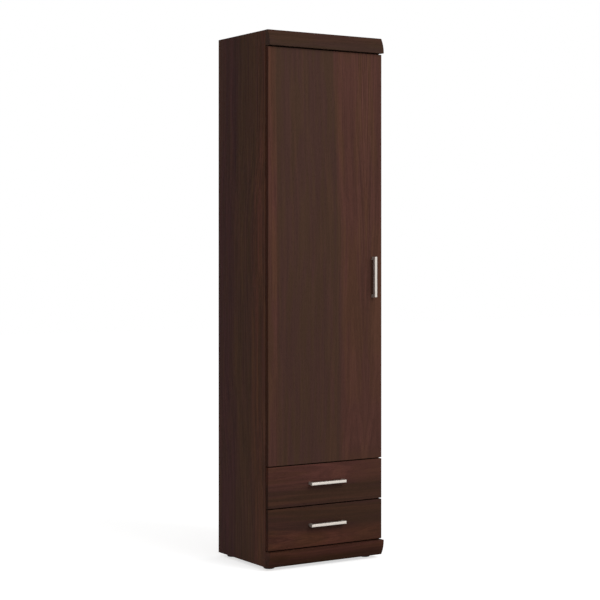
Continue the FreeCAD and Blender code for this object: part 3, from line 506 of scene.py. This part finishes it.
def satin_handle(name, axes):
    """Lacquered satin nickel, brushed along the handle."""
    material, tree, shader = new_material(name, Metallic=0.7)
    brush = use_group(tree, DRAWN_LINES, {"Place": turned_place(tree, axes)})
    bright, dull = colour(0.640, 0.587, 0.533), colour(0.600, 0.551, 0.50)
    tint = mixed(tree, ramp(tree, brush["Clouds"], WIDE), bright, dull)
    tint = shaded(tree, tint, ramp(tree, brush["Lines"], NARROW, 0.95, 1.04))
    rough = ramp(tree, brush["Lines"], NARROW, 0.30, 0.40)
    surface(tree, shader, tint, rough, brush["Lines"], strength=0.12, depth=0.0001)
    return material


def plated_steel():
    """Bright zinc plating with faint crystals and the lines of the rolled sheet."""
    material, tree, shader = new_material("plated_steel", Metallic=1.0)
    place = object_place(tree)
    rolled = use_group(tree, DRAWN_LINES, {"Place": place})
    crystals = put(tree, "ShaderNodeTexVoronoi", {
        "Vector": place, "Scale": 420.0, "Randomness": 1.0}).outputs["Color"]
    flake = put(tree, "ShaderNodeSeparateColor", {0: crystals}).outputs[0]
    dull, bright = colour(0.50, 0.50, 0.52), colour(0.60, 0.60, 0.61)
    tint = mixed(tree, flake, dull, bright)
    tint = shaded(tree, tint, ramp(tree, rolled["Clouds"], WIDE, 0.9, 1.08))
    rough = plus(tree, ramp(tree, rolled["Clouds"], WIDE, 0.26, 0.36), times(tree, flake, 0.06))
    surface(tree, shader, tint, rough, rolled["Lines"], strength=0.1, depth=0.0001)
    return material


def bright_rail():
    """Chromed tube with finger marks and hair lines worn along it by hangers."""
    material, tree, shader = new_material("bright_rail", Metallic=1.0)
    drawn = use_group(tree, DRAWN_LINES, {"Place": turned_place(tree, "XZY")})
    clean, touched = colour(0.74, 0.74, 0.75), colour(0.66, 0.66, 0.67)
    tint = mixed(tree, ramp(tree, drawn["Clouds"], (0.35, 0.7)), clean, touched)
    rough = plus(tree, ramp(tree, drawn["Clouds"], (0.4, 0.7), 0.08, 0.18),
                 ramp(tree, drawn["Lines"], (0.55, 0.7), 0.0, 0.12))
    surface(tree, shader, tint, rough, drawn["Lines"], strength=0.06, depth=0.0001)
    return material


def runner_enamel():
    """Cream enamel on the runners, rubbed grey along the travel."""
    material, tree, shader = new_material("runner_enamel")
    skin = use_group(tree, MOULDED_SKIN, {"Place": object_place(tree), "Fineness": 1400.0})
    rubbed = use_group(tree, DRAWN_LINES, {"Place": turned_place(tree, "XZY")})
    scuffs = ramp(tree, rubbed["Lines"], (0.54, 0.66), 0.0, 0.2)
    pale, dark = colour(0.79, 0.77, 0.72), colour(0.73, 0.71, 0.66)
    tint = mixed(tree, ramp(tree, skin["Flow"], (0.35, 0.7)), pale, dark)
    tint = mixed(tree, scuffs, tint, colour(0.5, 0.49, 0.47))
    rough = ramp(tree, skin["Flow"], WIDE, 0.3, 0.45)
    surface(tree, shader, tint, rough, skin["Dimples"], strength=0.15, depth=0.0002)
    return material


def moulded(name, pale, dark, rough, fineness, depth):
    """Moulded plastic or rubber."""
    material, tree, shader = new_material(name, Specular_IOR_Level=0.2)
    skin = use_group(tree, MOULDED_SKIN, {"Place": object_place(tree), "Fineness": fineness})
    tint = mixed(tree, ramp(tree, skin["Flow"], (0.32, 0.68)), pale, dark)
    tint = shaded(tree, tint, ramp(tree, skin["Dimples"], WIDE, 0.93, 1.06))
    uneven = ramp(tree, skin["Flow"], WIDE, rough - 0.06, rough + 0.08)
    surface(tree, shader, tint, uneven, skin["Dimples"], strength=0.25, depth=depth)
    return material


def bare_pine():
    """Unfinished softwood: pale early wood, darker late wood."""
    material, tree, shader = new_material("bare_pine", Specular_IOR_Level=0.2)
    place = object_place(tree)
    sway = times(tree, noise(tree, place, (30.0, 30.0, 6.0)), 0.02)
    bent = swayed(tree, place, sway)
    rings = noise(tree, bent, (260.0, 40.0, 3.0), detail=1.0)
    fibre = noise(tree, bent, (2200.0, 2200.0, 60.0))
    early, late = colour(0.60, 0.42, 0.24), colour(0.42, 0.25, 0.12)
    tint = mixed(tree, ramp(tree, rings, (0.46, 0.66)), early, late)
    tint = shaded(tree, tint, ramp(tree, fibre, WIDE, 0.88, 1.1))
    rough = ramp(tree, fibre, WIDE, 0.6, 0.75)
    surface(tree, shader, tint, rough, fibre, strength=0.25, depth=0.0002)
    return material


dress(satin_handle("upright_handle", "XYZ"), "door_handle")
dress(satin_handle("level_handle", "ZYX"), "upper_drawer_handle", "lower_drawer_handle")
dress(plated_steel(), "rail_brackets", "hinge_plates", "hinge_arms", "hinge_cups", "hinge_pins",
      "cam_bolts", "cam_nuts", "back_panel_nails", *SCREWS)
dress(bright_rail(), "clothes_rail")
dress(runner_enamel(), *RUNNERS)
dress(bare_pine(), "corner_blocks", "wooden_dowels", "upper_drawer_dowels", "lower_drawer_dowels")
dress(moulded("roller_nylon", colour(0.82, 0.82, 0.79), colour(0.75, 0.74, 0.70),
              rough=0.42, fineness=1100.0, depth=0.0001), *ROLLERS)
dress(moulded("foot_plastic", colour(0.035, 0.027, 0.022), colour(0.024, 0.019, 0.016),
              rough=0.5, fineness=1600.0, depth=0.0002), "feet")
dress(moulded("strip_plastic", colour(0.062, 0.036, 0.026), colour(0.05, 0.029, 0.021),
              rough=0.6, fineness=1500.0, depth=0.0001), "back_joint_strip")
dress(moulded("bumper_rubber", colour(0.62, 0.62, 0.60), colour(0.55, 0.55, 0.53),
              rough=0.35, fineness=1800.0, depth=0.0001), "door_bumpers")

# Hardware with more shape than its solids. Lengths are in metres.

SAME_POINT = 1e-6
FLAT_ANGLE = math.radians(1)
SHARP_ANGLE = math.radians(40)
ACROSS, BACKWARD, UP = Vector((1, 0, 0)), Vector((0, 1, 0)), Vector((0, 0, 1))

RIDGE_PITCH = 0.0011
HINGE_EASE = 0.0001
RUNNER_EASE = 0.0002
PLATE_EASE = 0.0003
CAM_EASE = 0.0004
BLOCK_EASE = 0.0015
BLOCK_SHORTEST = 0.004


def merged_copy(node):
    """A CAD node's mesh with its loose triangles joined."""
    shape = bmesh.new()
    shape.from_mesh(nodes[node].data)
    bmesh.ops.remove_doubles(shape, verts=shape.verts, dist=SAME_POINT)
    return shape


def solids_of(node):
    """The points of each separate solid of a CAD node."""
    shape = merged_copy(node)
    seen = set()
    for first in shape.verts:
        if first in seen:
            continue
        seen.add(first)
        solid = [first]
        for point in solid:
            around = [edge.other_vert(point) for edge in point.link_edges]
            fresh = [other for other in around if other not in seen]
            seen.update(fresh)
            solid += fresh
        yield [point.co.copy() for point in solid]
    shape.free()


def round_solids(node, axis=None):
    """Each round solid of a CAD node: its middle, its axis, half its height and its profile.

    The profile is its points as (radius, height) about the middle; the axis is the longest way.
    """
    for points in solids_of(node):
        low = Vector(map(min, zip(*points)))
        high = Vector(map(max, zip(*points)))
        middle = (low + high) / 2
        turn = axis or max((ACROSS, BACKWARD, UP), key=(high - low).dot)
        arms = [point - middle for point in points]
        profile = [((arm - turn * arm.dot(turn)).length, arm.dot(turn)) for arm in arms]
        yield middle, turn, max(height for radius, height in profile), profile


def facing(place, direction):
    """Transform that stands a shape's Z along a direction at a place."""
    return Matrix.Translation(place) @ direction.to_track_quat("Z", "Y").to_matrix().to_4x4()


def turned(outline, steps, ring=False):
    """Shape turned about Z from (radius, height) points; ring joins the last to the first."""
    shape = bmesh.new()
    points = [shape.verts.new((radius, 0, height)) for radius, height in outline]
    pairs = list(zip(points, points[1:])) + ([(points[-1], points[0])] if ring else [])
    edges = [shape.edges.new(pair) for pair in pairs]
    bmesh.ops.spin(shape, geom=points + edges, cent=(0, 0, 0), axis=UP, dvec=(0, 0, 0),
                   angle=2 * math.pi, steps=steps, use_merge=True)
    bmesh.ops.remove_doubles(shape, verts=shape.verts, dist=SAME_POINT)
    bmesh.ops.recalc_face_normals(shape, faces=shape.faces)
    return shape


def rounding(radius, height, across, rise, steps):
    """Points of a quarter round from (radius, height) to (radius - across, height + rise)."""
    angles = [math.pi / 2 * step / steps for step in range(1, steps + 1)]
    return [(radius - across * (1 - math.cos(angle)), height + rise * math.sin(angle))
            for angle in angles]


def cross_recess(shape, centre, reach, width, depth):
    """Let a screwdriver's cross into the flat face about a centre that looks along Z."""
    near, taper = 3 * reach, width / 3

    def on_face(point):
        return abs(point.co.z - centre.z) < SAME_POINT and (point.co - centre).length < near

    def flat_faces():
        return [face for face in shape.faces if all(map(on_face, face.verts))]

    def in_cross(face):
        less, more = sorted(abs(value) for value in (face.calc_center_median() - centre).xy)
        return less < width and more < reach

    for direction in (ACROSS, BACKWARD):
        for offset in (-reach, -width, width, reach):
            faces = flat_faces()
            borders = {edge for face in faces for edge in face.edges}
            corners = {point for face in faces for point in face.verts}
            bmesh.ops.bisect_plane(
                shape, geom=faces + list(borders) + list(corners), dist=SAME_POINT / 10,
                plane_co=centre + direction * offset, plane_no=direction)
    bmesh.ops.inset_region(
        shape, faces=[face for face in flat_faces() if in_cross(face)], thickness=taper,
        depth=-depth, use_boundary=True, use_even_offset=True)


def screw(length, head, crown, shank):
    """Pan-head screw with its head's top at zero: pointed ridged shank and a cross recess."""
    core, tip, dome = shank * 0.74, 2 * shank, crown * 0.7
    outline = [(0, -length), (core, tip - length)]
    for ridge in range(int((length - crown - tip) / RIDGE_PITCH)):
        root = tip - length + ridge * RIDGE_PITCH
        outline += [(shank, root + RIDGE_PITCH * 0.5), (core, root + RIDGE_PITCH)]
    outline += [(core, -crown), (head, -crown), (head, -dome)]
    outline += rounding(head, -dome, head * 0.3, dome, steps=4) + [(0, 0)]
    shape = turned(outline, steps=20)
    cross_recess(shape, Vector(), reach=head * 0.52, width=head * 0.13, depth=crown * 0.6)
    return shape


def nail(length, head, crown, shank):
    """Round nail with a low domed head, its top at zero."""
    tip = 3 * shank
    outline = [(0, -length), (shank, tip - length), (shank, -crown), (head, -crown)]
    return turned(outline + rounding(head, -crown, head, crown, steps=4), steps=14)


def roller(half, profile):
    """Nylon roller about zero: hub and rim with a sunk web between them."""
    radius, bore = max(profile)[0], min(profile)[0]
    ease, web = half * 0.2, half - half * 0.35
    rim, outer, inner, hub = radius * 0.8, radius * 0.76, radius * 0.54, radius * 0.5
    face = [(radius, half - ease), (radius - ease, half), (rim, half), (outer, web),
            (inner, web), (hub, half), (bore + ease / 2, half), (bore, half - ease / 2)]
    other_face = [(reach, -height) for reach, height in reversed(face)]
    return turned(face + other_face, steps=40, ring=True)


def glide_foot(half, profile):
    """Glide with its rim's foot at zero: dished sole, rounded rim and the spike into the block."""
    radius, spike, height = max(profile)[0], min(profile)[0], 2 * half
    collar = half + max(rise for reach, rise in profile if reach > radius * 0.99)
    ease, lip, dish = radius * 0.2, radius * 0.04, radius * 0.03
    hollow, tread = radius * 0.55, radius * 0.6
    quarter = [math.pi / 12 * step for step in range(1, 7)]
    sole = [(0, dish), (hollow, dish), (tread, 0), (radius - ease, 0)]
    rim = [(radius - ease * (1 - math.sin(angle)), ease * (1 - math.cos(angle)))
           for angle in quarter]
    top = [(radius, collar - lip), (radius - lip, collar), (spike, collar),
           (spike, height - 2 * spike), (0, height)]
    return turned(sole + rim + top, steps=48)


def bumper(half, profile):
    """Soft domed stop with its flat base at zero."""
    radius = max(profile)[0]
    dome = rounding(radius, 0, radius, 2 * half, steps=8)
    return turned([(0, 0), (radius, 0)] + dome, steps=28)


def add_copy(whole, shape, place):
    """Add a shape to a whole, moved to a place."""
    mesh = bpy.data.meshes.new("copy")
    shape.to_mesh(mesh)
    mesh.transform(place)
    whole.from_mesh(mesh)
    bpy.data.meshes.remove(mesh)
    shape.free()


def place_in_scene(name, data):
    """New object of the scene, at the origin."""
    thing = bpy.data.objects.new(name, data)
    bpy.context.scene.collection.objects.link(thing)
    return thing


def stand_for(node, shape):
    """Finish a shape as the piece that stands for a CAD node, in the node's own material."""
    mesh = bpy.data.meshes.new(node + "_piece")
    shape.to_mesh(mesh)
    shape.free()
    mesh.materials.append(nodes[node].data.materials[0])
    mesh.shade_smooth()
    mesh.set_sharp_from_angle(angle=SHARP_ANGLE)
    piece = place_in_scene(node + "_piece", mesh)
    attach(piece, BODY_OF[node])
    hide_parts(node)


def eased(node, width, shortest=0.0):
    """Merged copy of a CAD node with its sharp outer edges rounded, apart from the shortest."""
    shape = merged_copy(node)
    bmesh.ops.dissolve_limit(shape, angle_limit=FLAT_ANGLE, verts=shape.verts, edges=shape.edges)
    sharp = [edge for edge in shape.edges if edge.is_convex and edge.calc_length() > shortest
             and edge.calc_face_angle() > SHARP_ANGLE]
    bmesh.ops.bevel(shape, geom=sharp, offset=width, offset_type="OFFSET", segments=2,
                    profile=0.5, affect="EDGES", material=-1)
    return shape


def fasten(node, make):
    """Put a made fastener in the place and size of each one of a CAD node."""
    whole = bmesh.new()
    for middle, turn, half, profile in round_solids(node):
        head, seat = max(profile)
        shank = min(profile)[0]
        on_head = [abs(height) for radius, height in profile if radius > (head + shank) / 2]
        crown = half - min(on_head)
        out = turn * math.copysign(1, seat)
        add_copy(whole, make(2 * half, head, crown, shank), facing(middle + out * half, out))
    stand_for(node, whole)


def rebuild(node, make, axis, on_base):
    """Put a made shape, set on its base or about its middle, for each round solid of a CAD node."""
    whole = bmesh.new()
    for middle, turn, half, profile in round_solids(node, axis):
        place = middle - turn * half if on_base else middle
        add_copy(whole, make(half, profile), facing(place, turn))
    stand_for(node, whole)


def crossed_cams(node):
    """Cam nuts with eased edges and a cross in the underside of each."""
    shape = eased(node, CAM_EASE)
    for middle, turn, _, profile in round_solids(node, UP):
        radius = max(profile)[0]
        underside = middle + turn * min(height for reach, height in profile)
        cross_recess(shape, underside, reach=radius * 0.55, width=radius * 0.13,
                     depth=radius * 0.2)
    return shape


for name in SCREWS:
    fasten(name, screw)
fasten("back_panel_nails", nail)
for name in ROLLERS:
    rebuild(name, roller, ACROSS, on_base=False)
rebuild("feet", glide_foot, UP, on_base=True)
rebuild("door_bumpers", bumper, BACKWARD, on_base=True)
stand_for("cam_nuts", crossed_cams("cam_nuts"))
for name in ("hinge_cups", "hinge_arms"):
    stand_for(name, eased(name, HINGE_EASE))
for name in ("hinge_plates", "rail_brackets"):
    stand_for(name, eased(name, PLATE_EASE))
stand_for("corner_blocks", eased("corner_blocks", BLOCK_EASE, BLOCK_SHORTEST))
for name in RUNNERS:
    stand_for(name, eased(name, RUNNER_EASE))

# Studio: camera where the photograph was taken from, white ground, soft light

WHITE = colour(1.0, 1.0, 1.0)
FLOOR_GREY = colour(0.75, 0.75, 0.75)
FLOOR_HALF = 15
FLOOR_GLOW = 0.64
SKY_LIGHT = 0.5
SKY_SHOWN = 1.0
KEY_AIM = Vector((0, 0, 1.2))


def shown_ray(tree):
    """One where the ground is looked at, straight or mirrored, and zero where it gives light."""
    rays = put(tree, "ShaderNodeLightPath").outputs
    mirrored = maths(tree, "MAXIMUM", rays["Is Glossy Ray"], rays["Is Transmission Ray"])
    return maths(tree, "MAXIMUM", rays["Is Camera Ray"], mirrored)


camera = place_in_scene("camera", bpy.data.cameras.new("camera"))
bpy.context.scene.camera = camera
camera.location = (-3.2643, -5.1667, 1.1963)
camera.rotation_euler = (math.radians(90), 0, math.radians(-32.231))
camera.data.sensor_width = 36
camera.data.lens = 95.25
camera.data.shift_y = -0.0895
camera.data.clip_end = 60

world = bpy.data.worlds.new("studio")
bpy.context.scene.world = world
world.use_nodes = True
sky_tree = world.node_tree
sky = sky_tree.nodes["Background"].inputs
sky["Color"].default_value = WHITE
sky_tree.links.new(ramp(sky_tree, shown_ray(sky_tree), WHOLE, SKY_LIGHT, SKY_SHOWN),
                   sky["Strength"])

floor_shape = bmesh.new()
bmesh.ops.create_grid(floor_shape, x_segments=1, y_segments=1, size=FLOOR_HALF)
floor = place_in_scene("floor", bpy.data.meshes.new("floor"))
floor_shape.to_mesh(floor.data)
floor_shape.free()
floor_paint, floor_tree, floor_shader = new_material(
    "floor_paint", Specular_IOR_Level=0.0, Roughness=1.0, Base_Color=FLOOR_GREY,
    Emission_Color=WHITE)
floor_tree.links.new(ramp(floor_tree, shown_ray(floor_tree), WHOLE, 0.0, FLOOR_GLOW),
                     floor_shader.inputs["Emission Strength"])
floor.data.materials.append(floor_paint)

key = place_in_scene("key", bpy.data.lights.new("key", "AREA"))
key.data.shape = "DISK"
key.data.size = 3.0
key.data.energy = 126
key.location = (1.2, -4.2, 3.8)
key.rotation_euler = (KEY_AIM - key.location).to_track_quat("-Z", "Y").to_euler()

bpy.context.scene.view_settings.view_transform = "Standard"
